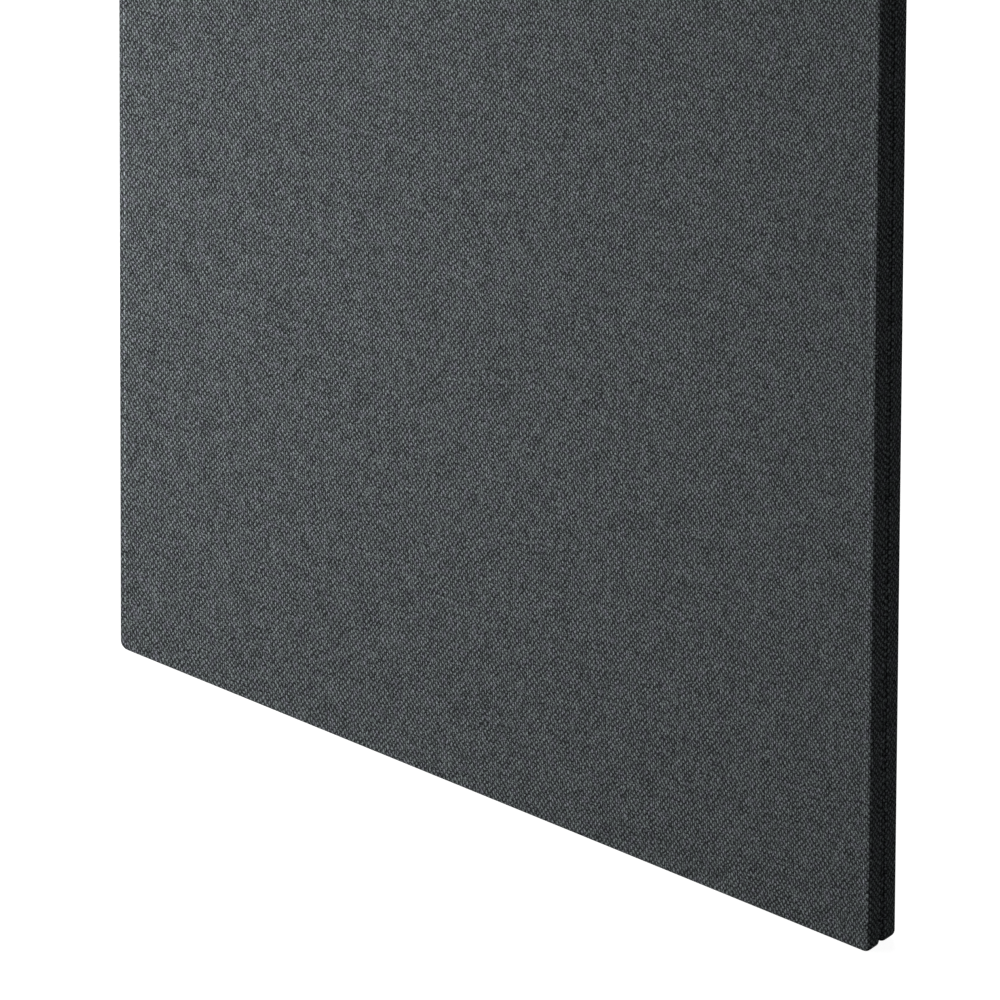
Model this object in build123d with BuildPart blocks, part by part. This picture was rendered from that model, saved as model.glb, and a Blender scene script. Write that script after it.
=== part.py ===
from build123d import *
import os

# Fabric-covered partition wall panel, in millimetres.
# X runs along the width, Y through the thickness and Z up.
# The origin is at the middle of the underside; the front face looks to -Y and the rear face to +Y.

# Overall sizes
WIDTH = 800.0
HEIGHT = 1800.0
CORNER_RADIUS = 8.0
SMALLEST_CORNER = 0.5

# Layers, from the outside to the core; together they make up the thickness
FABRIC = 1.0
FOAM = 3.0
BOARD = 3.0
FRAME_DEPTH = 23.0

# Softly rounded edges of each half
ARRIS_RADIUS = 4.5
MOUTH_RADIUS = 3.0

# Groove that runs round the edge between the halves, and the channel behind it
LIP_DEPTH = 6.0
GROOVE_PLAY = 0.3
CHANNEL_SIDE_PLAY = 0.2
CHANNEL_FLOOR_PLAY = 1.1

# Timber frame
STILE_WIDTH = 50.0
TOP_RAIL_WIDTH = 50.0
MID_RAIL_WIDTH = 50.0
BOTTOM_RAIL_WIDTH = 70.0
BAYS = 3

# Dowels at each rail end
DOWEL_RADIUS = 4.0
DOWEL_LENGTH = 40.0
DOWEL_EDGE = 15.0
DOWEL_GLUE_GAP = 0.05

# Pins that hold the facing boards to the frame
PIN_RADIUS = 0.8
PIN_HEAD_RADIUS = 1.4
PIN_HEAD_THICKNESS = 0.8
PIN_LENGTH = 12.0
PIN_PITCH = 160.0
PIN_GAP = 0.02

# Zip in the groove
TAPE = 0.4
TAPE_SEAM = 1.6
COIL_INNER = 0.7
COIL_WIDTH = 1.2
COIL_HEIGHT = 1.0
ZIP_FOOT = 60.0
STOP_LENGTH = 4.0
STOP_HALF_WIDTH = 2.2
TAPE_TAIL = 10.0

# Zip slider
SLIDER_LENGTH = 10.0
SLIDER_WALL = 0.8
SLIDER_FLANGE = 0.45
SLIDER_PLAY = 0.15
SLIDER_TAPE_GAP = 0.3
SLIDER_POST_PLAY = 0.25
SLIDER_POST_LENGTH = 2.5
SLIDER_REST_GAP = 0.3
BAIL_WIDTH = 2.0
BAIL_WALL = 0.8
BAIL_OPENING_LENGTH = 3.6

# Zip pull
PULL_THICKNESS = 1.0
PULL_SIDE_PLAY = 0.2
PULL_ARM = 0.7
PULL_LENGTH = 24.0
PULL_PLAY = 0.3
PULL_EYE_PLAY = 0.45
PULL_HOLE_RADIUS = 0.9

# Foot plates let into the underside
PLATE_LENGTH = 120.0
PLATE_WIDTH = 18.0
PLATE_THICKNESS = 6.0
PLATE_FROM_SIDE = 150.0
PLATE_CORNER = 3.0
PLATE_GAP = 0.2
BOLT_CORE_RADIUS = 3.4
BOLT_SPACING = 60.0
BOLT_RELIEF_RADIUS = 4.5
BOLT_RELIEF_DEPTH = 30.0

# Countersunk screws that hold the foot plates
SCREW_SPACING = 100.0
SCREW_RADIUS = 2.1
SCREW_HEAD_RADIUS = 4.2
SCREW_LENGTH = 35.0
SCREW_SLOT_WIDTH = 1.0
SCREW_SLOT_LENGTH = 4.4
SCREW_SLOT_DEPTH = 1.4
SCREW_GAP = 0.05

# Sizes that follow from the ones above
THICKNESS = FRAME_DEPTH + 2 * (BOARD + FOAM + FABRIC)
HALF = THICKNESS / 2
WRAP = FABRIC + FOAM
CORE_HALF = FRAME_DEPTH / 2
COIL_OUTER = COIL_INNER + COIL_WIDTH
SLIDER_HALF = COIL_OUTER + SLIDER_PLAY + SLIDER_FLANGE
GROOVE_HALF = SLIDER_HALF + GROOVE_PLAY
TAPE_HALF_WIDTH = GROOVE_HALF + FABRIC + TAPE_SEAM
TAPE_FOOT = ZIP_FOOT - TAPE_TAIL
SLIDER_BACK = LIP_DEPTH + TAPE + SLIDER_TAPE_GAP
CHANNEL_HALF = TAPE_HALF_WIDTH + CHANNEL_SIDE_PLAY
CHANNEL_FLOOR = SLIDER_BACK + SLIDER_WALL + CHANNEL_FLOOR_PLAY
PLATE_CENTRE = WIDTH / 2 - PLATE_FROM_SIDE
INNER_WIDTH = WIDTH - 2 * (WRAP + STILE_WIDTH)
BOTTOM_RAIL_TOP = WRAP + BOTTOM_RAIL_WIDTH
TOP_RAIL_FOOT = HEIGHT - WRAP - TOP_RAIL_WIDTH
BAY_HEIGHT = (TOP_RAIL_FOOT - BOTTOM_RAIL_TOP - (BAYS - 1) * MID_RAIL_WIDTH) / BAYS

os.makedirs("parts", exist_ok=True)


def outline(inset, near, far):
    """A slab with the panel's outline pulled in by inset, from near to far in front of the mid-plane."""
    with BuildPart() as slab:
        with BuildSketch(Plane.XZ.offset(near)):
            with Locations((0, HEIGHT / 2)):
                corner = max(CORNER_RADIUS - inset, SMALLEST_CORNER)
                RectangleRounded(WIDTH - 2 * inset, HEIGHT - 2 * inset, corner)
        extrude(amount=far - near)
    return slab.part


def pad(inset, near, far, near_radius, far_radius):
    """The same slab with its two outer edge loops rounded, as a soft half is."""
    with BuildPart() as block:
        add(outline(inset, near, far))
        fillet(block.faces().sort_by(Axis.Y)[0].edges(), far_radius)
        fillet(block.faces().sort_by(Axis.Y)[-1].edges(), near_radius)
    return block.part


def ring(inset, depth, near, far):
    """A band that follows the panel's edge, from inset to inset + depth."""
    with BuildPart() as band:
        add(outline(inset, near, far))
        add(outline(inset + depth, near, far), mode=Mode.SUBTRACT)
    return band.part


def box_between(low, high):
    """A plain block between two corners."""
    with BuildPart() as block:
        with BuildSketch(Plane.XY.offset(low[2])):
            with Locations(((low[0] + high[0]) / 2, (low[1] + high[1]) / 2)):
                Rectangle(high[0] - low[0], high[1] - low[1])
        extrude(amount=high[2] - low[2])
    return block.part


def save(name, part):
    """Labels a finished piece and writes it to its own file."""
    part.label = name
    export_step(part, f"parts/{name}.step")


# Places that several pieces share
PLATE_PLACES = [(-PLATE_CENTRE, 0), (PLATE_CENTRE, 0)]
RAIL_PLACES = {
    "bottom_rail": (WRAP, BOTTOM_RAIL_TOP),
    "mid_rail_lower": (
        BOTTOM_RAIL_TOP + BAY_HEIGHT,
        BOTTOM_RAIL_TOP + BAY_HEIGHT + MID_RAIL_WIDTH,
    ),
    "mid_rail_upper": (TOP_RAIL_FOOT - BAY_HEIGHT - MID_RAIL_WIDTH, TOP_RAIL_FOOT - BAY_HEIGHT),
    "top_rail": (TOP_RAIL_FOOT, HEIGHT - WRAP),
}
STILE_CENTRE = WIDTH / 2 - WRAP - STILE_WIDTH / 2
PIN_EDGE = WRAP + STILE_WIDTH
STILE_PINS = int((HEIGHT - 2 * PIN_EDGE) // PIN_PITCH) + 1
RAIL_PINS = int(INNER_WIDTH // PIN_PITCH)


def stile_pin_heights():
    """Heights of the pins up a stile, evenly spread between its ends."""
    step = (HEIGHT - 2 * PIN_EDGE) / (STILE_PINS - 1)
    return [PIN_EDGE + step * i for i in range(STILE_PINS)]


def rail_pin_places():
    """Places of the pins along every rail."""
    step = INNER_WIDTH / RAIL_PINS
    return [
        (-INNER_WIDTH / 2 + step * (i + 0.5), (low + high) / 2)
        for low, high in RAIL_PLACES.values()
        for i in range(RAIL_PINS)
    ]


PIN_PLACES = [(side * STILE_CENTRE, z) for side in (-1, 1) for z in stile_pin_heights()]
PIN_PLACES += rail_pin_places()


def dowel_heights(low, high):
    """Heights of the dowels in one rail."""
    return [low + DOWEL_EDGE, high - DOWEL_EDGE]


def dowel_rods(radius, length):
    """Round rods across every stile and rail joint, as dowels or as the holes for them."""
    with BuildPart() as rods:
        for side in (-1, 1):
            joint = side * INNER_WIDTH / 2
            with BuildSketch(Plane.YZ.offset(joint - length / 2)):
                for low, high in RAIL_PLACES.values():
                    with Locations(*[(0, z) for z in dowel_heights(low, high)]):
                        Circle(radius)
            extrude(amount=length)
    return rods.part


def pin_shapes(gap):
    """Pins through both facing boards into the frame, or with a gap the holes for them."""
    with BuildPart() as front:
        with BuildSketch(Plane.XZ.offset(CORE_HALF + BOARD - PIN_HEAD_THICKNESS)):
            with Locations(*PIN_PLACES):
                Circle(PIN_HEAD_RADIUS + gap)
        extrude(amount=PIN_HEAD_THICKNESS)
        with BuildSketch(Plane.XZ.offset(CORE_HALF + BOARD - PIN_LENGTH)):
            with Locations(*PIN_PLACES):
                Circle(PIN_RADIUS + gap)
        extrude(amount=PIN_LENGTH - PIN_HEAD_THICKNESS)
    with BuildPart() as both:
        add(front.part)
        mirror(about=Plane.XZ)
    return both.part


def plate_shapes(gap, top):
    """The foot plates' outlines, grown by a gap, from the underside up to top."""
    with BuildPart() as slabs:
        with BuildSketch(Plane.XY):
            with Locations(*PLATE_PLACES):
                RectangleRounded(PLATE_LENGTH + 2 * gap, PLATE_WIDTH + 2 * gap, PLATE_CORNER + gap)
        extrude(amount=top)
    return slabs.part


def bolt_places(spacing):
    """Places of a pair of holes, spacing apart, on each foot plate."""
    return [(x + side * spacing / 2, y) for x, y in PLATE_PLACES for side in (-1, 1)]


def screw_profile(gap):
    """A countersunk screw turned about its own axis, head down on the underside."""
    cone = SCREW_HEAD_RADIUS - SCREW_RADIUS
    point = 2 * SCREW_RADIUS
    with BuildPart() as screw:
        with BuildSketch(Plane.XZ):
            with BuildLine():
                Polyline(
                    (0, 0),
                    (SCREW_HEAD_RADIUS + gap, 0),
                    (SCREW_RADIUS + gap, cone),
                    (SCREW_RADIUS + gap, SCREW_LENGTH - point),
                    (0, SCREW_LENGTH + gap),
                    close=True,
                )
            make_face()
        revolve(axis=Axis.Z)
    return screw.part


def screw_shapes(gap):
    """All the foot plates' screws, or with a gap the holes for them."""
    with BuildPart() as screws:
        with Locations(*[(x, y, 0) for x, y in bolt_places(SCREW_SPACING)]):
            add(screw_profile(gap))
    return screws.part


# Cutters that several pieces share
channel = ring(0, CHANNEL_FLOOR, -CHANNEL_HALF, CHANNEL_HALF)
plate_notches = plate_shapes(PLATE_GAP, PLATE_THICKNESS)
dowel_holes = dowel_rods(DOWEL_RADIUS + DOWEL_GLUE_GAP, DOWEL_LENGTH + 2 * DOWEL_GLUE_GAP)
pin_holes = pin_shapes(PIN_GAP)
screw_holes = screw_shapes(SCREW_GAP)

# Fabric covers: a face, a rounded edge and a lip that turns into the groove
with BuildPart() as front_cover:
    add(pad(0, GROOVE_HALF, HALF, MOUTH_RADIUS, ARRIS_RADIUS))
    add(
        pad(
            FABRIC,
            GROOVE_HALF + FABRIC,
            HALF - FABRIC,
            MOUTH_RADIUS - FABRIC,
            ARRIS_RADIUS - FABRIC,
        ),
        mode=Mode.SUBTRACT,
    )
    add(outline(LIP_DEPTH, GROOVE_HALF, GROOVE_HALF + FABRIC), mode=Mode.SUBTRACT)
    add(plate_notches, mode=Mode.SUBTRACT)
save("front_cover", front_cover.part)

with BuildPart() as rear_cover:
    mirror(front_cover.part, about=Plane.XZ)
save("rear_cover", rear_cover.part)

# Foam wraps under the covers
with BuildPart() as front_foam:
    add(
        pad(
            FABRIC,
            GROOVE_HALF + FABRIC,
            HALF - FABRIC,
            MOUTH_RADIUS - FABRIC,
            ARRIS_RADIUS - FABRIC,
        )
    )
    add(outline(WRAP, 0, CORE_HALF + BOARD), mode=Mode.SUBTRACT)
    add(plate_notches, mode=Mode.SUBTRACT)
save("front_foam", front_foam.part)

with BuildPart() as rear_foam:
    mirror(front_foam.part, about=Plane.XZ)
save("rear_foam", rear_foam.part)

# Facing boards
with BuildPart() as front_board:
    add(outline(WRAP, CORE_HALF, CORE_HALF + BOARD))
    add(pin_holes, mode=Mode.SUBTRACT)
save("front_board", front_board.part)

with BuildPart() as rear_board:
    add(outline(WRAP, -CORE_HALF - BOARD, -CORE_HALF))
    add(pin_holes, mode=Mode.SUBTRACT)
save("rear_board", rear_board.part)

# Stiles, with the panel's rounded corners at their ends
for name, side in (("stile_left", -1), ("stile_right", 1)):
    inner = side * INNER_WIDTH / 2
    outer = side * (WIDTH / 2 - WRAP)
    with BuildPart() as stile:
        add(outline(WRAP, -CORE_HALF, CORE_HALF))
        add(
            box_between(
                (min(inner, outer), -CORE_HALF, WRAP),
                (max(inner, outer), CORE_HALF, HEIGHT - WRAP),
            ),
            mode=Mode.INTERSECT,
        )
        add(channel, mode=Mode.SUBTRACT)
        add(dowel_holes, mode=Mode.SUBTRACT)
        add(pin_holes, mode=Mode.SUBTRACT)
    save(name, stile.part)

# Rails between the stiles
for name, (low, high) in RAIL_PLACES.items():
    with BuildPart() as rail:
        add(
            box_between(
                (-INNER_WIDTH / 2, -CORE_HALF, low), (INNER_WIDTH / 2, CORE_HALF, high)
            )
        )
        add(channel, mode=Mode.SUBTRACT)
        add(dowel_holes, mode=Mode.SUBTRACT)
        add(pin_holes, mode=Mode.SUBTRACT)
        if name == "bottom_rail":
            add(plate_notches, mode=Mode.SUBTRACT)
            add(screw_holes, mode=Mode.SUBTRACT)
            with BuildSketch(Plane.XY):
                with Locations(*bolt_places(BOLT_SPACING)):
                    Circle(BOLT_RELIEF_RADIUS)
            extrude(amount=BOLT_RELIEF_DEPTH, mode=Mode.SUBTRACT)
    save(name, rail.part)

save("frame_dowels", dowel_rods(DOWEL_RADIUS, DOWEL_LENGTH))
save("board_pins", pin_shapes(0))

# Absorber slabs that fill the bays of the frame
bay_feet = [high for low, high in RAIL_PLACES.values()][:BAYS]
for name, foot in zip(("absorber_lower", "absorber_middle", "absorber_upper"), bay_feet):
    with BuildPart() as slab:
        add(
            box_between(
                (-INNER_WIDTH / 2, -CORE_HALF, foot),
                (INNER_WIDTH / 2, CORE_HALF, foot + BAY_HEIGHT),
            )
        )
    save(name, slab.part)


def above(height):
    """A block that holds everything above a height."""
    return box_between((-WIDTH, -THICKNESS, height), (WIDTH, THICKNESS, 2 * HEIGHT))


# Zip tapes, sewn to the lips of the covers, and the coil along each tape
with BuildPart() as zip_tape_front:
    add(ring(LIP_DEPTH, TAPE, COIL_INNER, TAPE_HALF_WIDTH))
    add(above(TAPE_FOOT), mode=Mode.INTERSECT)
save("zip_tape_front", zip_tape_front.part)

with BuildPart() as zip_tape_rear:
    mirror(zip_tape_front.part, about=Plane.XZ)
save("zip_tape_rear", zip_tape_rear.part)

with BuildPart() as zip_coil_front:
    add(ring(LIP_DEPTH - COIL_HEIGHT, COIL_HEIGHT, COIL_INNER, COIL_OUTER))
    add(above(ZIP_FOOT), mode=Mode.INTERSECT)
save("zip_coil_front", zip_coil_front.part)

with BuildPart() as zip_coil_rear:
    mirror(zip_coil_front.part, about=Plane.XZ)
save("zip_coil_rear", zip_coil_rear.part)

# Stops that clip both tapes together below the coil
with BuildPart() as zip_end_stops:
    for side in (-1, 1):
        near = side * (WIDTH / 2 - LIP_DEPTH)
        far = side * (WIDTH / 2 - LIP_DEPTH + COIL_HEIGHT)
        add(
            box_between(
                (min(near, far), -STOP_HALF_WIDTH, ZIP_FOOT - STOP_LENGTH),
                (max(near, far), STOP_HALF_WIDTH, ZIP_FOOT),
            )
        )
    fillet(zip_end_stops.edges().filter_by(Axis.X), STOP_LENGTH / 8)
save("zip_end_stops", zip_end_stops.part)

# Tape that closes the groove along the underside, between the foot plates and up to the zip
with BuildPart() as bottom_seam_tape:
    add(ring(LIP_DEPTH, TAPE, -TAPE_HALF_WIDTH, TAPE_HALF_WIDTH))
    add(above(TAPE_FOOT), mode=Mode.SUBTRACT)
    add(plate_shapes(PLATE_GAP, LIP_DEPTH + 2 * TAPE), mode=Mode.SUBTRACT)
save("bottom_seam_tape", bottom_seam_tape.part)

# Zip slider on the left side, resting above its stop
EDGE = -WIDTH / 2
SLIDER_Z = ZIP_FOOT + SLIDER_REST_GAP + SLIDER_LENGTH / 2
SLIDER_CORNER = SLIDER_HALF / 2.5
PLATE_IN = EDGE + LIP_DEPTH - COIL_HEIGHT - SLIDER_PLAY
PLATE_OUT = PLATE_IN - SLIDER_WALL
FLANGE_END = EDGE + LIP_DEPTH - SLIDER_TAPE_GAP
BACK_IN = EDGE + SLIDER_BACK
BAIL_OPENING = PULL_THICKNESS + 2 * PULL_PLAY
BAIL_IN = PLATE_OUT - BAIL_OPENING
BAIL_OUT = BAIL_IN - BAIL_WALL
BAIL_HALF_LENGTH = BAIL_OPENING_LENGTH / 2
BAIL_END = BAIL_HALF_LENGTH + BAIL_WALL
PIVOT_X = PLATE_OUT - BAIL_OPENING / 2
BAIL_REACH = ((PIVOT_X - BAIL_OUT) ** 2 + BAIL_END**2) ** 0.5
PULL_HALF_WIDTH = BAIL_WIDTH / 2 + PULL_SIDE_PLAY + PULL_ARM
PULL_EYE = BAIL_REACH + PULL_EYE_PLAY


def slider_block(x_low, x_high, y_low, y_high, z_low, z_high):
    """A block of the slider, its heights given from the slider's middle."""
    return box_between((x_low, y_low, SLIDER_Z + z_low), (x_high, y_high, SLIDER_Z + z_high))


with BuildPart() as zip_slider:
    half = SLIDER_LENGTH / 2
    add(slider_block(PLATE_OUT, PLATE_IN, -SLIDER_HALF, SLIDER_HALF, -half, half))
    add(slider_block(BACK_IN, BACK_IN + SLIDER_WALL, -SLIDER_HALF, SLIDER_HALF, -half, half))
    fillet(zip_slider.edges().filter_by(Axis.X), SLIDER_CORNER)
    for side in (-1, 1):
        inner = side * (SLIDER_HALF - SLIDER_FLANGE)
        outer = side * SLIDER_HALF
        flange_half = half - SLIDER_CORNER
        add(
            slider_block(
                PLATE_IN,
                FLANGE_END,
                min(inner, outer),
                max(inner, outer),
                -flange_half,
                flange_half,
            )
        )
    post_half = COIL_INNER - SLIDER_POST_PLAY
    post_foot = SLIDER_CORNER - half
    add(
        slider_block(
            PLATE_IN, BACK_IN, -post_half, post_half, post_foot, post_foot + SLIDER_POST_LENGTH
        )
    )
    add(slider_block(BAIL_OUT, BAIL_IN, -BAIL_WIDTH / 2, BAIL_WIDTH / 2, -BAIL_END, BAIL_END))
    for side in (-1, 1):
        inner = side * BAIL_HALF_LENGTH
        outer = side * BAIL_END
        add(
            slider_block(
                BAIL_IN,
                PLATE_OUT,
                -BAIL_WIDTH / 2,
                BAIL_WIDTH / 2,
                min(inner, outer),
                max(inner, outer),
            )
        )
    bail_ends = zip_slider.edges().filter_by(Axis.Y).group_by(Axis.X)[0]
    fillet(bail_ends, BAIL_WALL * 0.8)
save("zip_slider", zip_slider.part)

# Zip pull, hanging from the slider's bail
with BuildPart() as zip_pull:
    half = PULL_HALF_WIDTH
    tip = SLIDER_Z - PULL_LENGTH
    with BuildSketch(Plane.YZ.offset(PIVOT_X - PULL_THICKNESS / 2)):
        with BuildLine():
            Line((half, tip + half), (half, SLIDER_Z))
            Line((half, SLIDER_Z), (-half, SLIDER_Z))
            Line((-half, SLIDER_Z), (-half, tip + half))
            ThreePointArc((-half, tip + half), (0, tip), (half, tip + half))
        make_face()
        with Locations((0, SLIDER_Z - PULL_EYE / 2)):
            Rectangle(2 * (half - PULL_ARM), PULL_EYE, mode=Mode.SUBTRACT)
        with Locations((0, tip + half)):
            Circle(PULL_HOLE_RADIUS, mode=Mode.SUBTRACT)
    extrude(amount=PULL_THICKNESS)
    with BuildSketch(Plane.XZ.offset(-half)):
        with Locations((PIVOT_X, SLIDER_Z)):
            Circle(PULL_THICKNESS / 2)
    extrude(amount=2 * half)
save("zip_pull", zip_pull.part)

# Steel foot plates, tapped for bolt-on feet
for name, (x, y) in zip(("foot_plate_left", "foot_plate_right"), PLATE_PLACES):
    with BuildPart() as foot_plate:
        with BuildSketch(Plane.XY):
            with Locations((x, y)):
                RectangleRounded(PLATE_LENGTH, PLATE_WIDTH, PLATE_CORNER)
            with Locations((x - BOLT_SPACING / 2, y), (x + BOLT_SPACING / 2, y)):
                Circle(BOLT_CORE_RADIUS, mode=Mode.SUBTRACT)
        extrude(amount=PLATE_THICKNESS)
        add(screw_holes, mode=Mode.SUBTRACT)
    save(name, foot_plate.part)

# Screws with a cross recess
with BuildPart() as foot_plate_screws:
    add(screw_shapes(0))
    with BuildSketch(Plane.XY):
        with Locations(*bolt_places(SCREW_SPACING)):
            Rectangle(SCREW_SLOT_LENGTH, SCREW_SLOT_WIDTH)
            Rectangle(SCREW_SLOT_WIDTH, SCREW_SLOT_LENGTH)
    extrude(amount=SCREW_SLOT_DEPTH, mode=Mode.SUBTRACT)
save("foot_plate_screws", foot_plate_screws.part)
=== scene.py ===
"""Looks of the upholstered partition wall panel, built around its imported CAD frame."""

import logging
import math
from collections.abc import Iterable, Sequence
from dataclasses import dataclass, field
from enum import Enum
from functools import reduce
from typing import Protocol

import bpy
from mathutils import Matrix, Vector, noise


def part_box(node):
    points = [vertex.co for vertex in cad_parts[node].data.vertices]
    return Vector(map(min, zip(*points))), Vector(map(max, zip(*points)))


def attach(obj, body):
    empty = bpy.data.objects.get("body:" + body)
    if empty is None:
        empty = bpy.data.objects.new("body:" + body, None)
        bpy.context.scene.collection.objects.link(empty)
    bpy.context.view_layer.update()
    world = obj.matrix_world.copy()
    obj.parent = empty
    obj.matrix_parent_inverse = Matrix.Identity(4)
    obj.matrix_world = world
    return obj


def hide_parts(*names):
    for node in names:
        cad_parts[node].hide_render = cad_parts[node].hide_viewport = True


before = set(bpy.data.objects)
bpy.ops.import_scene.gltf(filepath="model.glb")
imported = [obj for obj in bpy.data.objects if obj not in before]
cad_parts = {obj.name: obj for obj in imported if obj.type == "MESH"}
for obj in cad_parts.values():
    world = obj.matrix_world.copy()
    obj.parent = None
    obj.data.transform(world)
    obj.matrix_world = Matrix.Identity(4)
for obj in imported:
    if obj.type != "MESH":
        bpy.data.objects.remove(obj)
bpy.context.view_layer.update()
log = logging.getLogger("partition_wall")

MM = 0.001
TURN = 2 * math.pi
TINY = 1e-6
CLOTH_MAP = "Cloth"
PANEL_BODY = "panel"
FOOT_PLATES = ("foot_plate_left", "foot_plate_right")

Colour = tuple[float, float, float]
Triple = tuple[float, float, float]
Spot = tuple[float, float]
Section = list[Spot]
Socket = bpy.types.NodeSocket
Value = Socket | float
Input = Value | Colour | Vector


class Half(Enum):
    """The two upholstered halves, by the side of the mid-plane that they lie on."""

    FRONT = -1.0
    REAR = 1.0

    @property
    def word(self) -> str:
        """The half's name in the names of its pieces."""
        return self.name.lower()


class Grain(Enum):
    """The axis that a timber's grain runs along."""

    LEVEL = 0
    UPRIGHT = 2


# ---------------------------------------------------------------------------- shader helper


class Graph:
    """A material's node tree, with short calls for the nodes that the finishes use."""

    def __init__(self, name: str) -> None:
        """Starts a material with one principled shader.

        Args:
            name: The material's name.
        """
        self.material = bpy.data.materials.new(name)
        self.material.use_nodes = True
        self.tree = self.material.node_tree
        self.shader = self.tree.nodes["Principled BSDF"]

    def node(self, kind: str, **values: object) -> bpy.types.Node:
        """Adds a node and sets its own properties.

        Args:
            kind: The node's type, without the ShaderNode prefix.
            values: Properties of the node, by name.

        Returns:
            The new node.
        """
        made = self.tree.nodes.new(f"ShaderNode{kind}")
        for key, value in values.items():
            setattr(made, key, value)
        return made

    def feed(self, socket: Socket, value: Input) -> None:
        """Links a socket into another one, or sets it to a constant.

        Args:
            socket: The input socket.
            value: An output socket, a number, a colour or a vector.
        """
        if isinstance(value, bpy.types.NodeSocket):
            self.tree.links.new(value, socket)
        elif isinstance(value, tuple) and len(socket.default_value) == 4:
            socket.default_value = (*value, 1.0)
        else:
            socket.default_value = value

    def result(
        self, kind: str, inputs: dict[int | str, Input], output: int | str = 0, **values: object
    ) -> Socket:
        """Adds a node, feeds it and hands over one of its outputs.

        Args:
            kind: The node's type, without the ShaderNode prefix.
            inputs: What goes into the node, by the input's name or number.
            output: The output's name or number.
            values: Properties of the node, by name.

        Returns:
            The output socket.
        """
        made = self.node(kind, **values)
        for key, value in inputs.items():
            self.feed(made.inputs[key], value)
        return made.outputs[output]

    def math(self, operation: str, *values: Value) -> Socket:
        """A math node's result for its inputs in order."""
        return self.result("Math", dict(enumerate(values)), operation=operation)

    def scaled(self, value: Value, gain: float, offset: float = 0.0) -> Socket:
        """Value times gain plus offset."""
        return self.math("MULTIPLY_ADD", value, gain, offset)

    def centred(self, value: Value, gain: float) -> Socket:
        """A value from 0 to 1, moved to lie about 0 and scaled to that span."""
        return self.scaled(value, gain, -gain / 2)

    def total(self, *values: Value) -> Socket:
        """The sum of several values."""
        return reduce(lambda first, second: self.math("ADD", first, second), values)

    def smooth(self, value: Value, low: float, high: float) -> Socket:
        """A smooth step from 0 at low to 1 at high."""
        ends = {"Value": value, "From Min": low, "From Max": high}
        return self.result("MapRange", ends, "Result", interpolation_type="SMOOTHSTEP")

    def mix(self, factor: Value, first: Input, second: Input, blend: str = "MIX") -> Socket:
        """A blend of two colours, only the first one at a factor of 0."""
        parts = {"Factor": factor, 6: first, 7: second}
        return self.result("Mix", parts, 2, data_type="RGBA", blend_type=blend)

    def brighten(self, colour: Socket, gain: Value) -> Socket:
        """A colour times a number."""
        return self.result("VectorMath", {0: colour, "Scale": gain}, operation="SCALE")

    def place(self) -> Socket:
        """The point on the piece, in metres, in the frame's axes."""
        return self.node("TexCoord").outputs["Object"]

    def cloth_place(self) -> Socket:
        """The point on the flat cloth, in metres, before it was wrapped round the panel."""
        return self.node("UVMap", uv_map=CLOTH_MAP).outputs["UV"]

    def split(self, vector: Socket) -> tuple[Socket, ...]:
        """A vector's three parts."""
        return tuple(self.result("SeparateXYZ", {0: vector}).node.outputs)

    def join(self, x: Value, y: Value, z: Value = 0.0) -> Socket:
        """A vector from its three parts."""
        return self.result("CombineXYZ", {0: x, 1: y, 2: z})

    def stretch(self, vector: Socket, scale: Triple) -> Socket:
        """A vector with each part multiplied by its own factor."""
        return self.result("VectorMath", {0: vector, 1: scale}, operation="MULTIPLY")

    def noise(self, vector: Socket, scale: float, detail: float = 2.0) -> Socket:
        """Soft noise from 0 to 1, of so many lumps per metre and octaves of finer noise."""
        inputs = {"Vector": vector, "Scale": scale, "Detail": detail}
        return self.result("TexNoise", inputs, "Fac")

    def dots(self, vector: Socket, scale: float) -> Socket:
        """Distance to the nearest of many scattered points, as for cells and pits."""
        return self.result("TexVoronoi", {"Vector": vector, "Scale": scale}, "Distance")

    def chance(self, vector: Socket) -> Socket:
        """A random value from 0 to 1 for each different vector."""
        return self.result("TexWhiteNoise", {"Vector": vector}, "Value", noise_dimensions="3D")

    def bump(self, height: Value, distance: float, strength: float = 1.0) -> None:
        """Gives the shader a relief, in which a height of 1 stands for that distance."""
        relief = {"Strength": strength, "Distance": distance, "Height": height}
        self.feed(self.shader.inputs["Normal"], self.result("Bump", relief))

    def surface(self, **values: Value | Colour) -> bpy.types.Material:
        """Feeds the principled shader and hands over the material.

        Args:
            values: The shader's inputs, with underscores for spaces.

        Returns:
            The finished material.
        """
        for key, value in values.items():
            self.feed(self.shader.inputs[key.replace("_", " ")], value)
        return self.material


# ---------------------------------------------------------------------------- finishes


class Finish(Protocol):
    """Anything that makes a material."""

    def material(self) -> bpy.types.Material:
        """Makes the material."""


@dataclass(frozen=True)
class Yarns:
    """The threads at each place of a cloth, by number, and the noise that runs along them."""

    g: Graph
    u: Socket
    v: Socket
    warp: Socket
    weft: Socket
    apart: float = 3.7

    def along_warp(self, rate: float, layer: float = 0.0) -> Socket:
        """Slow noise up each warp, different from warp to warp."""
        spot = (self.g.scaled(self.warp, self.apart), self.g.scaled(self.v, rate), layer)
        return self.g.noise(self.g.join(*spot), 1.0, 1.0)

    def along_weft(self, rate: float, layer: float) -> Socket:
        """Slow noise along each weft, different from weft to weft."""
        spot = (self.g.scaled(self.u, rate), self.g.scaled(self.weft, self.apart), layer)
        return self.g.noise(self.g.join(*spot), 1.0, 1.0)


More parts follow.
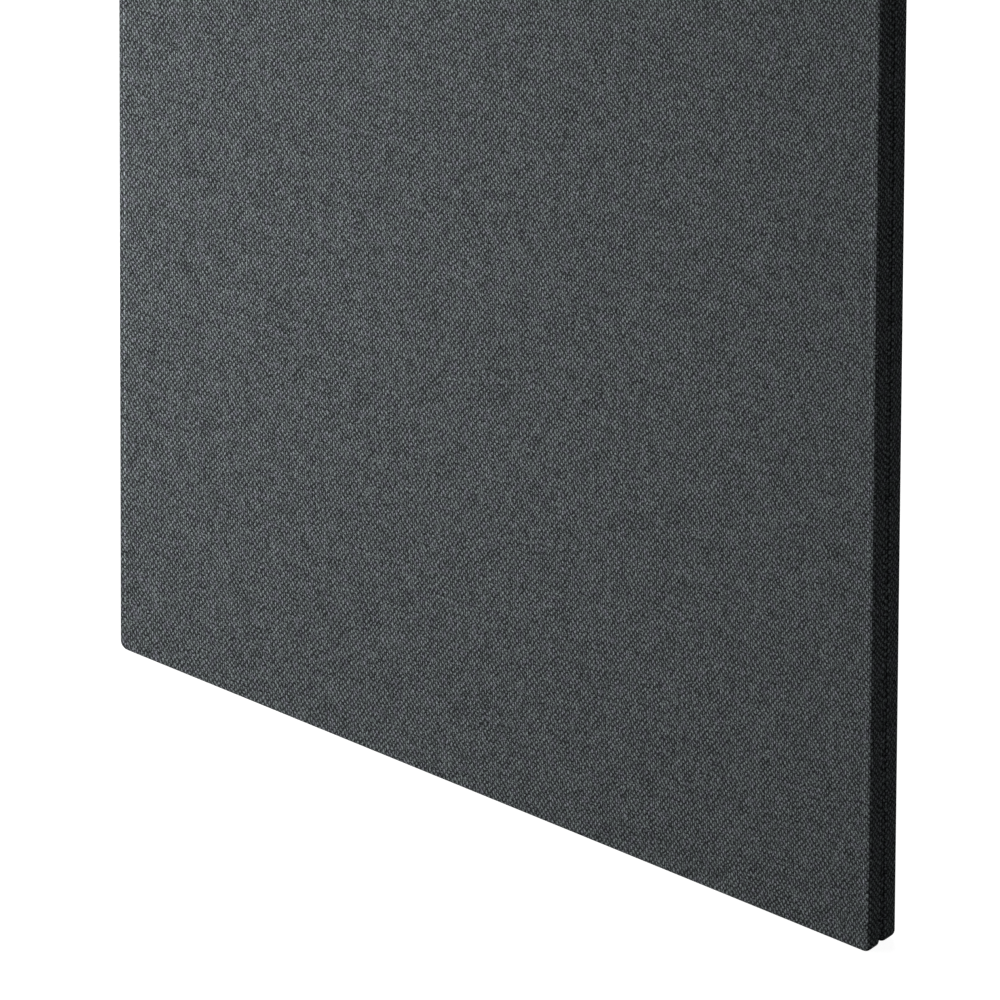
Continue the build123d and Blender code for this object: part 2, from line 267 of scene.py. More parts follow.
@dataclass(frozen=True)
class SlateMelange:
    """Melange plain weave in dark slate grey: pale upright floats on a near-black ground.

    Rates are lumps of noise per metre, wander and slack are in threads, and each gain is a
    share of the yarn's whole tone.
    """

    half_width: float
    warp_pitch: float = 2.26 * MM
    weft_pitch: float = 3.2 * MM
    skew: float = -10.0
    wander: float = 1.5
    warp_wander_rate: float = 90.0
    weft_wander_rate: float = 110.0
    wander_stretch: float = 0.35
    slack: float = 1.2
    slack_rate: float = 25.0
    rising_share: float = 0.55
    float_edges: Spot = (-0.55, 0.65)
    ground: float = 0.18
    float_gain: float = 0.48
    column_gain: float = 0.15
    row_gain: float = 0.06
    cell_gain: float = 0.22
    slub_rate: float = 60.0
    warp_slub_gain: float = 0.30
    weft_slub_gain: float = 0.24
    fibre_rate: float = 620.0
    fibre_gain: float = 1.9
    contrast: float = 1.8
    light: Colour = (0.435, 0.470, 0.490)
    dark: Colour = (0.014, 0.0155, 0.0170)
    cloud_rate: float = 85.0
    cloud_edges: Spot = (0.42, 0.72)
    green: Colour = (0.97, 1.02, 0.99)
    violet: Colour = (1.02, 0.975, 1.07)
    relief: float = 0.6 * MM
    float_relief: float = 0.38
    fibre_relief: float = 0.3
    # These fields set a painted highlight: paler yarn along the tension creases, strongest on the left.
    crease_highlight_inset: float = 7.2 * MM
    crease_highlight_half_width: Spot = (1.3 * MM, 0.3 * MM)
    crease_highlight_rise: Spot = (20.0 * MM, 70.0 * MM)
    crease_highlight_middle: float = 100.0 * MM
    crease_highlight_gain: float = 0.9
    crease_highlight_right: float = 0.25

    def wear_and_crease_highlight(self, g: Graph, u: Socket, v: Socket) -> Socket:
        """Painted highlight: how much paler the yarn is painted on top of the tension creases, strongest
        on the left.

        Args:
            g: The material's graph.
            u: The place across the flat cloth.
            v: The place up the flat cloth.

        Returns:
            The factor on the yarn's colour.
        """
        crease = self.half_width - self.crease_highlight_inset
        off = g.math("ABSOLUTE", g.scaled(g.math("ABSOLUTE", u), 1.0, -crease))
        line = g.smooth(off, *self.crease_highlight_half_width)
        rightward = g.smooth(u, -self.crease_highlight_middle, self.crease_highlight_middle)
        side = g.scaled(rightward, self.crease_highlight_right - 1.0, 1.0)
        rise = g.smooth(v, *self.crease_highlight_rise)
        strength = g.math("MULTIPLY", g.math("MULTIPLY", line, side), rise)
        return g.scaled(strength, self.crease_highlight_gain, 1.0)

    def counts(self, g: Graph, cloth: Socket, u: Socket, v: Socket) -> tuple[Socket, Socket]:
        """Counts the threads up to each place; they stray a little from their even pitch.

        Args:
            g: The material's graph.
            cloth: The place on the flat cloth.
            u: Its part across.
            v: Its part up.

        Returns:
            The count of warps and the count of wefts, with fractions.
        """
        across = g.stretch(cloth, (1.0, self.wander_stretch, 1.0))
        along = g.stretch(cloth, (self.wander_stretch, 1.0, 1.0))
        sway = g.scaled(g.noise(across, self.warp_wander_rate, 3.0), self.wander)
        drift = g.scaled(g.noise(along, self.weft_wander_rate, 3.0), self.wander)
        warps = g.total(g.scaled(u, 1 / self.warp_pitch), sway)
        return warps, g.total(g.scaled(v, 1 / self.weft_pitch), drift, g.scaled(u, self.skew))

    def lattice(self, g: Graph, warps: Socket, wefts: Socket) -> Socket:
        """Finds where the warps lie on top of the wefts.

        Args:
            g: The material's graph.
            warps: The count of warps.
            wefts: The count of wefts.

        Returns:
            From -1, where a warp dives, to 1, where it lies on top.
        """
        rising = g.math("COSINE", g.scaled(g.total(warps, wefts), math.pi))
        falling = g.math("COSINE", g.scaled(g.math("SUBTRACT", warps, wefts), math.pi))
        return g.total(
            g.scaled(rising, self.rising_share), g.scaled(falling, 1.0 - self.rising_share)
        )

    def material(self) -> bpy.types.Material:
        """The cloth's material.

        Returns:
            The material.
        """
        g = Graph("slate melange cloth")
        cloth = g.cloth_place()
        u, v, _ = g.split(cloth)
        warps, wefts = self.counts(g, cloth, u, v)
        yarns = Yarns(g, u, v, g.math("ROUND", warps), g.math("ROUND", wefts))
        wefts = g.total(wefts, g.scaled(yarns.along_warp(self.slack_rate, 4.0), self.slack))
        warps = g.total(warps, g.scaled(yarns.along_weft(self.slack_rate, 6.0), self.slack / 2))
        lattice = self.lattice(g, warps, wefts)
        cell = g.chance(g.join(yarns.warp, yarns.weft))
        fibre = g.noise(g.stretch(cloth, (1.3, 1.0, 1.0)), self.fibre_rate)
        tone = g.total(
            g.scaled(g.smooth(lattice, *self.float_edges), self.float_gain, self.ground),
            g.scaled(g.math("COSINE", g.scaled(warps, TURN)), self.column_gain),
            g.scaled(g.math("COSINE", g.scaled(wefts, TURN)), self.row_gain),
            g.centred(cell, self.cell_gain),
            g.centred(yarns.along_warp(self.slub_rate), self.warp_slub_gain),
            g.centred(yarns.along_weft(self.slub_rate, 9.0), self.weft_slub_gain),
            g.centred(fibre, self.fibre_gain),
        )
        tone = g.math("MAXIMUM", 0.0, g.math("MINIMUM", 1.0, tone))
        yarn = g.mix(g.math("POWER", tone, self.contrast), self.dark, self.light)
        cloud = g.smooth(g.noise(cloth, self.cloud_rate), *self.cloud_edges)
        tint = g.mix(cloud, self.green, self.violet)
        yarn_height = g.scaled(lattice, self.float_relief, 0.5)
        g.bump(g.total(yarn_height, g.centred(fibre, self.fibre_relief)), self.relief, 0.9)
        return g.surface(
            # The base colour carries the painted crease highlight laid on the yarn.
            Base_Color=g.mix(1.0, g.brighten(yarn, self.wear_and_crease_highlight(g, u, v)), tint, "MULTIPLY"),
            Roughness=g.scaled(cell, 0.1, 0.82),
            Sheen_Weight=0.05,
            Sheen_Roughness=0.5,
            Specular_IOR_Level=0.2,
        )


@dataclass(frozen=True)
class WrapFoam:
    """Open-cell foam, cream, with small pores."""

    pores: float = 900.0
    pore_edges: Spot = (0.1, 0.6)
    pore_depth: float = 0.4 * MM
    patches: float = 12.0
    pale: Colour = (0.78, 0.75, 0.66)
    deep: Colour = (0.50, 0.46, 0.37)

    def material(self) -> bpy.types.Material:
        """The foam's material.

        Returns:
            The material.
        """
        g = Graph("wrap foam")
        pore = g.smooth(g.dots(g.place(), self.pores), *self.pore_edges)
        patch = g.noise(g.place(), self.patches, 3.0)
        colour = g.mix(g.math("MULTIPLY", pore, g.scaled(patch, 0.4, 0.7)), self.deep, self.pale)
        g.bump(pore, self.pore_depth)
        return g.surface(Base_Color=colour, Roughness=g.scaled(patch, 0.1, 0.85))


@dataclass(frozen=True)
class PressedFelt:
    """Pressed polyester felt with short crossed fibres."""

    fibres: float = 260.0
    fibre_length: float = 9.0
    fibre_gain: float = 1.1
    clumps: float = 30.0
    clump_gain: float = 0.5
    tone_edges: Spot = (0.35, 0.8)
    relief: float = 0.8 * MM
    pale: Colour = (0.46, 0.47, 0.48)
    deep: Colour = (0.24, 0.25, 0.27)

    def material(self) -> bpy.types.Material:
        """The felt's material.

        Returns:
            The material.
        """
        g = Graph("pressed felt")
        place = g.place()
        along = g.noise(g.stretch(place, (1.0, 1.0, self.fibre_length)), self.fibres, 4.0)
        across = g.noise(g.stretch(place, (self.fibre_length, 1.0, 1.0)), self.fibres, 4.0)
        fibre = g.math("MULTIPLY", g.math("MAXIMUM", along, across), self.fibre_gain)
        clump = g.centred(g.noise(place, self.clumps, 3.0), self.clump_gain)
        tone = g.smooth(g.total(fibre, clump), *self.tone_edges)
        g.bump(fibre, self.relief)
        return g.surface(Base_Color=g.mix(tone, self.deep, self.pale), Roughness=0.95)


@dataclass(frozen=True)
class Timber:
    """Planed wood with grain along one axis."""

    name: str
    early: Colour
    late: Colour
    grain: Grain = Grain.UPRIGHT
    rings: float = 150.0
    ring_edges: Spot = (0.25, 0.95)
    ring_slant: float = 0.6
    waver_rate: float = 9.0
    waver: float = 0.11
    pores: float = 1400.0
    grain_stretch: float = 0.045
    relief: float = 0.15 * MM

    def material(self) -> bpy.types.Material:
        """The wood's material.

        Returns:
            The material.
        """
        g = Graph(self.name)
        axis = self.grain.value
        scale = tuple(self.grain_stretch if part == axis else 1.0 for part in range(3))
        place = g.stretch(g.place(), scale)
        x, y, z = g.split(place)
        waver = g.scaled(g.noise(place, self.waver_rate), self.waver)
        sideways = z if self.grain is Grain.LEVEL else x
        across = g.total(sideways, g.scaled(y, self.ring_slant), waver)
        late = g.smooth(g.math("FRACT", g.scaled(across, self.rings)), *self.ring_edges)
        pore = g.noise(place, self.pores, 3.0)
        tone = g.math("MINIMUM", 1.0, g.total(g.scaled(late, 0.65), g.scaled(pore, 0.5, -0.12)))
        g.bump(g.total(g.scaled(late, 0.3), g.scaled(pore, 0.7)), self.relief)
        return g.surface(
            Base_Color=g.mix(tone, self.early, self.late),
            Roughness=g.scaled(late, -0.12, 0.62),
        )


@dataclass(frozen=True)
class Hardboard:
    """Smooth brown hardboard with fine flecks."""

    flecks: float = 700.0
    fleck_length: float = 0.4
    fleck_relief: float = 0.06 * MM
    patches: float = 9.0
    tone_edges: Spot = (0.2, 0.9)
    pale: Colour = (0.33, 0.20, 0.11)
    deep: Colour = (0.17, 0.095, 0.05)

    def material(self) -> bpy.types.Material:
        """The board's material.

        Returns:
            The material.
        """
        g = Graph("hardboard")
        place = g.place()
        fleck = g.noise(g.stretch(place, (1.0, 1.0, self.fleck_length)), self.flecks, 3.0)
        patch = g.noise(place, self.patches, 4.0)
        tone = g.total(g.scaled(fleck, 0.9), g.scaled(patch, 0.5, -0.2))
        g.bump(fleck, self.fleck_relief)
        return g.surface(
            Base_Color=g.mix(g.smooth(tone, *self.tone_edges), self.deep, self.pale),
            Roughness=g.scaled(patch, 0.2, 0.35),
        )


@dataclass(frozen=True)
class WovenTape:
    """Narrow herringbone tape, near black."""

    name: str = "herringbone tape"
    unrolled: bool = True
    rib: float = 0.6 * MM
    fuzz_rate: float = 2500.0
    tone_edges: Spot = (-0.6, 0.6)
    relief: float = 0.12 * MM
    pale: Colour = (0.050, 0.053, 0.058)
    deep: Colour = (0.012, 0.013, 0.015)

    def material(self) -> bpy.types.Material:
        """The tape's material.

        Returns:
            The material.
        """
        g = Graph(self.name)
        if self.unrolled:
            u, v, _ = g.split(g.cloth_place())
        else:
            v, u, _ = g.split(g.place())
        zigzag = g.math("PINGPONG", v, 2 * self.rib)
        ribs = g.math("SINE", g.scaled(g.total(u, zigzag), TURN / self.rib))
        fuzz = g.noise(g.place(), self.fuzz_rate)
        tone = g.smooth(g.total(g.scaled(ribs, 0.5), g.centred(fuzz, 1.0)), *self.tone_edges)
        g.bump(tone, self.relief)
        return g.surface(
            Base_Color=g.mix(tone, self.deep, self.pale),
            Roughness=g.scaled(fuzz, 0.2, 0.75),
        )


@dataclass(frozen=True)
class Nylon:
    """Drawn nylon, a little shiny."""

    haze_rate: float = 900.0
    relief: float = 0.02 * MM
    pale: Colour = (0.045, 0.048, 0.052)
    deep: Colour = (0.020, 0.022, 0.025)

    def material(self) -> bpy.types.Material:
        """The nylon's material.

        Returns:
            The material.
        """
        g = Graph("drawn nylon")
        haze = g.noise(g.place(), self.haze_rate, 3.0)
        g.bump(haze, self.relief)
        return g.surface(
            Base_Color=g.mix(haze, self.deep, self.pale),
            Roughness=g.scaled(haze, 0.2, 0.25),
        )


@dataclass(frozen=True)
class Metal:
    """A metal or a coat on metal, with small wear at its high spots."""

    name: str
    base: Colour
    worn: Colour
    metallic: float = 1.0
    roughness: float = 0.35
    grain: float = 1200.0
    smears: float = 90.0
    relief: float = 0.02 * MM
    wear: float = 0.6
    worn_edges: Spot = (0.53, 0.60)

    def material(self) -> bpy.types.Material:
        """The metal's material.

        Returns:
            The material.
        """
        g = Graph(self.name)
        grain = g.noise(g.place(), self.grain, 3.0)
        smear = g.noise(g.place(), self.smears, 4.0)
        edge = g.node("NewGeometry").outputs["Pointiness"]
        rub = g.smooth(g.total(edge, g.centred(grain, 0.06)), *self.worn_edges)
        worn = g.math("MULTIPLY", rub, self.wear)
        g.bump(grain, self.relief)
        return g.surface(
            Base_Color=g.mix(worn, g.mix(smear, self.base, self.worn), self.worn),
            Roughness=g.total(g.scaled(grain, 0.12, self.roughness - 0.06), g.scaled(smear, 0.08)),
            Metallic=self.metallic,
        )


# ---------------------------------------------------------------------------- mesh helpers


@dataclass
class Skin:
    """A mesh in the making: its corners, its faces and where each face lies on the flat cloth."""

    name: str
    points: list[Triple] = field(default_factory=list)
    faces: list[tuple[int, ...]] = field(default_factory=list)
    cloth: list[Section] = field(default_factory=list)

    def point(self, x: float, y: float, z: float) -> int:
        """Adds a corner and gives its number."""
        self.points.append((x, y, z))
        return len(self.points) - 1

    def face(self, corners: Sequence[int], cloth: Sequence[Spot] = ()) -> None:
        """Adds a face, left out where fewer than three of its corners differ.

        Args:
            corners: The corners' numbers, in order round the face.
            cloth: Each corner's place on the flat cloth, in metres.
        """
        kept = [i for i, corner in enumerate(corners) if corner != corners[i - 1]]
        if len(kept) < 3:
            return
        self.faces.append(tuple(corners[i] for i in kept))
        if cloth:
            self.cloth.append([cloth[i] for i in kept])

    def loft(self, rings: Sequence[Sequence[int]], closed: bool, caps: bool = False) -> None:
        """Faces between rings of corners.

        Args:
            rings: Rings of corner numbers, all of one length.
            closed: Whether the last ring joins the first.
            caps: Whether the first and last rings are filled.
        """
        pairs = list(zip(rings, rings[1:]))
        if closed:
            pairs.append((rings[-1], rings[0]))
        for near, far in pairs:
            for i in range(len(near)):
                self.face((near[i - 1], near[i], far[i], far[i - 1]))
        if caps:
            self.face(tuple(reversed(rings[0])))
            self.face(tuple(rings[-1]))

    def object(self, smooth: bool = True) -> bpy.types.Object:
        """Makes the mesh object.

        Args:
            smooth: Whether the faces are shaded smooth.

        Returns:
            The object, linked to the scene.
        """
        mesh = bpy.data.meshes.new(self.name)
        mesh.from_pydata(self.points, [], self.faces)
        if self.cloth:
            layer = mesh.uv_layers.new(name=CLOTH_MAP)
            flat = [number for face in self.cloth for place in face for number in place]
            layer.data.foreach_set("uv", flat)
        mesh.validate()
        mesh.polygons.foreach_set("use_smooth", [smooth] * len(mesh.polygons))
        made = bpy.data.objects.new(self.name, mesh)
        bpy.context.scene.collection.objects.link(made)
        return made


def spread(low: float, high: float, step: float) -> list[float]:
    """Evenly spread values from low to high, no further apart than step."""
    count = max(1, math.ceil((high - low) / step - TINY))
    return [low + (high - low) * i / count for i in range(count + 1)]


def arc(centre: Spot, radius: float, start: float, end: float, steps: int) -> Section:
    """Points along an arc in a plane.

    Args:
        centre: The arc's centre.
        radius: Its radius.
        start: The angle that it starts at, in degrees.
        end: The angle that it ends at, in degrees.
        steps: How many runs it is made of.

    Returns:
        The points, the start and the end with them.
    """
    angles = [math.radians(start + (end - start) * i / steps) for i in range(steps + 1)]
    return [(centre[0] + radius * math.cos(a), centre[1] + radius * math.sin(a)) for a in angles]


@dataclass(frozen=True)
class EdgePoint:
    """A place round an outline: its hub, the way out from there, and the side that owns it."""

    hub: Spot
    out: Spot
    owner: Spot

    def at(self, radius: float) -> Spot:
        """X and Z that far out from the hub."""
        return self.hub[0] + radius * self.out[0], self.hub[1] + radius * self.out[1]


@dataclass(frozen=True)
class PanelOutline:
    """An upright rounded rectangle, centred on X, that edge pieces follow."""

    width: float
    height: float
    foot: float = 0.0
    corner: float = 8.0 * MM

    @property
    def half(self) -> float:
        """X of the corners' centres on the right."""
        return self.width / 2 - self.corner

    @property
    def low(self) -> float:
        """Z of the lower corners' centres."""
        return self.foot + self.corner

    @property
    def high(self) -> float:
        """Z of the upper corners' centres."""
        return self.foot + self.height - self.corner

    def side(self, out: Spot, stations: Iterable[float]) -> list[EdgePoint]:
        """Places along one straight side.

        Args:
            out: The way out from that side.
            stations: X of the places along the top or the bottom, Z along the left or right.

        Returns:
            The places.
        """
        if out[0]:
            return [EdgePoint((out[0] * self.half, z), out, out) for z in stations]
        level = self.high if out[1] > 0 else self.low
        return [EdgePoint((x, level), out, out) for x in stations]

    def turn(self, before: EdgePoint, steps: int) -> list[EdgePoint]:
        """Places round the corner that follows a side, without the corner's two ends.

        Args:
            before: The side's last place.
            steps: How many runs the corner is made of.

        Returns:
            The places.
        """
        first = before.out
        last = (-first[1], first[0])
        made = []
        for i in range(1, steps):
            angle = math.pi / 2 * i / steps
            out = (
                math.cos(angle) * first[0] + math.sin(angle) * last[0],
                math.cos(angle) * first[1] + math.sin(angle) * last[1],
            )
            made.append(EdgePoint(before.hub, out, first if 2 * i < steps else last))
        return made

    def loop(self, across: list[float], up: list[float], steps: int) -> list[list[EdgePoint]]:
        """Places all the way round, anticlockwise seen from the front, from the bottom left.

        Args:
            across: X of the places along the bottom, from the left.
            up: Z of the places up the right side.
            steps: How many runs each corner is made of.

        Returns:
            The places of each side in turn, each with the corner that follows it.
        """
        sides = [
            self.side((0.0, -1.0), across),
            self.side((1.0, 0.0), up),
            self.side((0.0, 1.0), across[::-1]),
            self.side((-1.0, 0.0), up[::-1]),
        ]
        return [side + self.turn(side[-1], steps) for side in sides]

    def arch(self, foot: float, step: float, turns: int) -> list[EdgePoint]:
        """Places up the right side, over the top and down the left side.

        Args:
            foot: Z of both ends.
            step: The largest gap between places along the straight sides.
            turns: How many runs each corner is made of.

        Returns:
            The places.
        """
        up = spread(foot, self.high, step)
        right = self.side((1.0, 0.0), up)
        top = self.side((0.0, 1.0), spread(-self.half, self.half, step)[::-1])
        left = self.side((-1.0, 0.0), up[::-1])
        return right + self.turn(right[-1], turns) + top + self.turn(top[-1], turns) + left


def panel_outline() -> PanelOutline:
    """The outline of the whole panel, which either cover fills."""
    low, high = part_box("front_cover")
    return PanelOutline(high.x - low.x, high.z - low.z)


def reach(node: str) -> Spot:
    """A node's least and greatest distance from the mid-plane."""
    low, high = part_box(node)
    return tuple(sorted((abs(low.y), abs(high.y))))


def dress(piece: bpy.types.Object, finish: Finish, slot: str, *nodes: str) -> None:
    """Gives a piece its finish and its body, and hides the CAD nodes that it replaces.

    Args:
        piece: The piece.
        finish: Its finish.
        slot: The record's material slot; not used.
        nodes: The CAD nodes that it stands for.
    """
    piece.data.materials.clear()
    piece.data.materials.append(finish.material())
    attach(piece, PANEL_BODY)
    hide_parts(*nodes)
    log.info("%s: %d faces", piece.name, len(piece.data.polygons))


@dataclass(frozen=True)
class PlateCutter:
    """Cuts both foot plates' places out of a soft piece."""

    gap: float = 0.2 * MM
    corner: float = 3.2 * MM
    below: float = 5.0 * MM
    corner_runs: int = 6

    def blocks(self) -> bpy.types.Object:
        """Makes the rounded blocks that are cut away.

        Returns:
            Both blocks, as one object.
        """
        skin = Skin("plate_cutter")
        inset = self.corner - self.gap
        for node in FOOT_PLATES:
            low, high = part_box(node)
            left, right = low.x + inset, high.x - inset
            front, rear = low.y + inset, high.y - inset
            ring: Section = []
            for index, centre in enumerate(((right, rear), (left, rear), (left, front), (right, front))):
                ring += arc(centre, self.corner, 90 * index, 90 * (index + 1), self.corner_runs)
            levels = (low.z - self.below, high.z + self.gap)
            skin.loft([[skin.point(x, y, z) for x, y in ring] for z in levels], False, True)
        return skin.object(False)

    def cut(self, piece: bpy.types.Object) -> None:
        """Cuts the blocks out of a piece and keeps the result as its mesh.

        Args:
            piece: The piece.
        """
        blocks = self.blocks()
        cut = piece.modifiers.new("plate cut-outs", "BOOLEAN")
        cut.operation = "DIFFERENCE"
        cut.solver = "EXACT"
        cut.object = blocks
        graph = bpy.context.evaluated_depsgraph_get()
        made = bpy.data.meshes.new_from_object(piece.evaluated_get(graph))
        piece.modifiers.clear()
        piece.data = made
        made.name = piece.name
        bpy.data.objects.remove(blocks)


# ---------------------------------------------------------------------------- covers and foams


@dataclass
class WrappedForm:
    """A soft form with a flat face and rounded edges that follow an outline.

    Its section is a list of insets from the outline with heights out from the mid-plane, which
    starts on the face, where the outline's corners have run out to a point.
    """

    name: str
    outline: PanelOutline
    section: Section
    facing: float
    back: bool = False
    cell: float = 10.0 * MM
    corner_steps: int = 8
    wave_height: float = 0.30 * MM
    wave_length: float = 170.0 * MM
    ripples: float = 3.1
    ripple_share: float = 0.35
    hollow: float = 0.6

    @property
    def top(self) -> float:
        """The flat face's distance from the mid-plane."""
        return self.section[0][1]

    def face_rise(self, x: float, z: float) -> float:
        """How far the face lies above its plane: long soft waves, mostly hollows.

        Args:
            x: X of the place.
            z: Z of the place.

        Returns:
            The rise, in metres.
        """
        u, v = x / self.wave_length, z / self.wave_length
        wave = noise.noise(Vector((u, v, 7.0 * self.facing)))
        ripple = noise.noise(Vector((self.ripples * u, self.ripples * v, 2.0)))
        return self.wave_height * (wave + self.ripple_share * ripple - self.hollow)

    def edge_rise(self, inset: float, depth: float, x: float, z: float) -> float:
        """How far the edge stands out at a point of the section, nothing on a plain form."""
        return 0.0

    def lines(self) -> tuple[list[float], list[float]]:
        """Spreads the lines of the face's grid.

        Returns:
            X of its columns and Z of its rows.
        """
        outline = self.outline
        return (
            spread(-outline.half, outline.half, self.cell),
            spread(outline.low, outline.high, self.cell),
        )

    def normal(self, i: int) -> Spot:
        """Finds the way outward at a point of the section.

        Args:
            i: The point's number.

        Returns:
            Its parts out from the hub and away from the mid-plane.
        """
        before = self.section[max(i - 1, 0)]
        after = self.section[min(i + 1, len(self.section) - 1)]
        along = Vector((before[0] - after[0], after[1] - before[1])).normalized()
        return -along.y, along.x

    def extras(self) -> list[float]:
        """Measures what the flat cloth needs beyond each point's own place in elevation.

        Returns:
            The extra length at each point of the section.
        """
        made = [0.0]
        length = 0.0
        nearest = self.section[0][0]
        for before, here in zip(self.section, self.section[1:]):
            length += math.dist(before, here)
            nearest = min(nearest, here[0])
            made.append(length - (self.section[0][0] - nearest))
        return made

    def face_grid(self, skin: Skin, depth: float, flip: bool) -> list[list[int]]:
        """A flat face as a grid.

        Args:
            skin: The mesh that it is added to.
            depth: Its distance from the mid-plane.
            flip: Whether it looks towards the mid-plane.

        Returns:
            The corners' numbers, by row and column.
        """
        across, up = self.lines()
        rise = 0.0 if flip else 1.0
        grid = [
            [
                skin.point(x, self.facing * (depth + rise * self.face_rise(x, z)), z)
                for x in across
            ]
            for z in up
        ]
        for row in range(len(up) - 1):
            for col in range(len(across) - 1):
                spots = ((row, col), (row, col + 1), (row + 1, col + 1), (row + 1, col))
                numbers = [grid[r][c] for r, c in spots]
                self.add(skin, numbers, [(across[c], up[r]) for r, c in spots], flip)
        return grid

    def add(self, skin: Skin, corners: list[int], cloth: Section, flip: bool = False) -> None:
        """Adds a face with its outer side out, whichever way the form faces."""
        step = -1 if (self.facing > 0) != flip else 1
        skin.face(corners[::step], cloth[::step])

    def border(self, grid: list[list[int]], loop: list[list[EdgePoint]]) -> list[int]:
        """Makes a grid's own edge into a ring, with each of its corners repeated round the turn.

        Args:
            grid: The corners' numbers, by row and column.
            loop: The places round the outline, by side.

        Returns:
            The ring's corner numbers.
        """
        sides = (
            grid[0],
            [row[-1] for row in grid],
            grid[-1][::-1],
            [row[0] for row in grid[::-1]],
        )
        ring = []
        for side, places in zip(sides, loop):
            ring += side + [side[-1]] * (len(places) - len(side))
        return ring

    def edge_ring(self, skin: Skin, k: int, places: list[EdgePoint]) -> list[int]:
        """Adds a ring of corners at a point of the section.

        Args:
            skin: The mesh that it is added to.
            k: The point's number.
            places: The places round the outline.

        Returns:
            The ring's corner numbers.
        """
        corner = self.outline.corner
        inset, depth = self.section[k]
        out, away = self.normal(k)
        start = self.section[0][0]
        bend = min(inset for inset, depth in self.section if depth > self.top - TINY)
        fade = max(0.0, (inset - bend) / (start - bend)) if depth > self.top - TINY else 0.0
        ring = []
        for place in places:
            rise = self.edge_rise(inset, depth, *place.at(corner))
            lift = fade * self.face_rise(*place.at(corner - inset)) + rise * away
            x, z = place.at(corner - inset + rise * out)
            ring.append(skin.point(x, self.facing * (depth + lift), z))
        return ring

    def wrap(self, skin: Skin, rings: list[list[int]], places: list[EdgePoint]) -> None:
        """Adds the faces between the rings, with their places on the flat cloth.

        Args:
            skin: The mesh that they are added to.
            rings: The rings' corner numbers, from the face outwards.
            places: The places round the outline.
        """
        extras = self.extras()
        nearest = [min(inset for inset, _ in self.section[: k + 1]) for k in range(len(rings))]
        for k in range(len(rings) - 1):
            for i, end in enumerate(places):
                ends = (places[i - 1], end)
                owner = end.owner if end.owner == ends[0].owner else ends[0].owner
                spots = ((k, 0), (k + 1, 0), (k + 1, 1), (k, 1))
                numbers = [rings[ring][i - 1 + e] for ring, e in spots]
                cloth = []
                for ring, e in spots:
                    u, v = ends[e].at(self.outline.corner - nearest[ring])
                    cloth.append((u + extras[ring] * owner[0], v + extras[ring] * owner[1]))
                self.add(skin, numbers, cloth)

    def skin(self) -> Skin:
        """Makes the whole mesh: the face, the rings round its edge and the back if it has one.

        Returns:
            The mesh in the making.
        """
        skin = Skin(self.name)
        loop = self.outline.loop(*self.lines(), self.corner_steps)
        places = [place for side in loop for place in side]
        rings = [self.border(self.face_grid(skin, self.top, False), loop)]
        last = len(self.section) - (1 if self.back else 0)
        rings += [self.edge_ring(skin, k, places) for k in range(1, last)]
        if self.back:
            rings.append(self.border(self.face_grid(skin, self.section[-1][1], True), loop))
        self.wrap(skin, rings, places)
        return skin


